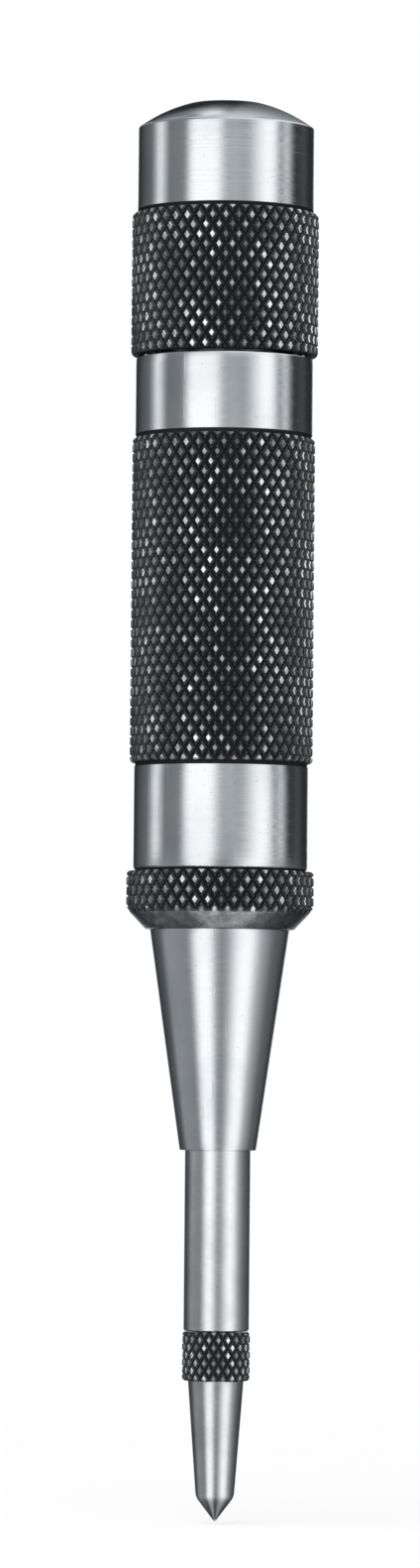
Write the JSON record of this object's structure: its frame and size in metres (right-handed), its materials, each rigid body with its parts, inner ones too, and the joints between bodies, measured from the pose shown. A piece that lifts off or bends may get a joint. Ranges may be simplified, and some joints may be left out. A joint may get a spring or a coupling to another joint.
{
  "type": "automatic center punch",
  "caption": "Automatic center punch: knurled barrel and domed screw cap, cone nose, sliding plunger with a replaceable point, and a spring-driven hammer with a release latch inside.",
  "frame": {"origin": "the sharp tip of the punch point, on the tool's axis", "axes": "+Z along the tool's axis from the tip to the crown of the cap; +X is the side that the release latch's round nose faces"},
  "size_m": [0.0172, 0.0172, 0.13],
  "materials": {
    "knurled_steel": "nickel-plated, polished on the plain bands and dark in the knurl",
    "polished_steel": "nickel-plated and polished",
    "hardened_steel": "hardened and ground",
    "spring_steel": "drawn wire, oiled",
    "plain_steel": "turned, bare"
  },
  "bodies": {
    "barrel": {"barrel": "knurled_steel", "nose_piece": "polished_steel", "stop_washer": "plain_steel", "plunger_spring": "spring_steel", "hammer_spring": "spring_steel"},
    "plunger": {"plunger": "polished_steel", "punch_point": "hardened_steel", "trip_stem": "hardened_steel"},
    "hammer": {"hammer": "hardened_steel", "keeper_pin": "hardened_steel", "latch_spring": "spring_steel"},
    "latch": {"release_latch": "hardened_steel"},
    "seat": {"spring_seat": "plain_steel"},
    "cap": {"adjusting_cap": "knurled_steel"}
  },
  "joints": [
    {"name": "plunger_press", "type": "slide", "parent": "barrel", "child": "plunger", "axis": [0, 0, 1], "range_m": [0, 0.008], "stiffness_N_per_m": 500, "springref_m": -0.006, "deforming": ["plunger_spring"]},
    {"name": "hammer_lift", "type": "slide", "parent": "barrel", "child": "hammer", "axis": [0, 0, 1], "range_m": [0, 0.008], "stiffness_N_per_m": 4000, "springref_m": -0.006, "deforming": ["hammer_spring"]},
    {"name": "latch_slide", "type": "slide", "parent": "hammer", "child": "latch", "axis": [-1, 0, 0], "range_m": [0, 0.0015], "stiffness_N_per_m": 300, "springref_m": -0.001, "deforming": ["latch_spring"]},
    {"name": "cap_rise", "type": "slide", "parent": "barrel", "child": "seat", "axis": [0, 0, 1], "range_m": [0, 0.0045], "deforming": ["hammer_spring"]},
    {"name": "cap_turn", "type": "hinge", "parent": "seat", "child": "cap", "pos_m": [0, 0, 0.1165], "axis": [0, 0, 1], "range_deg": [0, 1080]}
  ],
  "couplings": [
    {"joint": "hammer_lift", "follows": "plunger_press", "ratio": 1},
    {"joint": "latch_slide", "follows": "plunger_press", "ratio": 0.1875},
    {"joint": "cap_turn", "follows": "cap_rise", "rad_per_m": 4188.8}
  ]
}
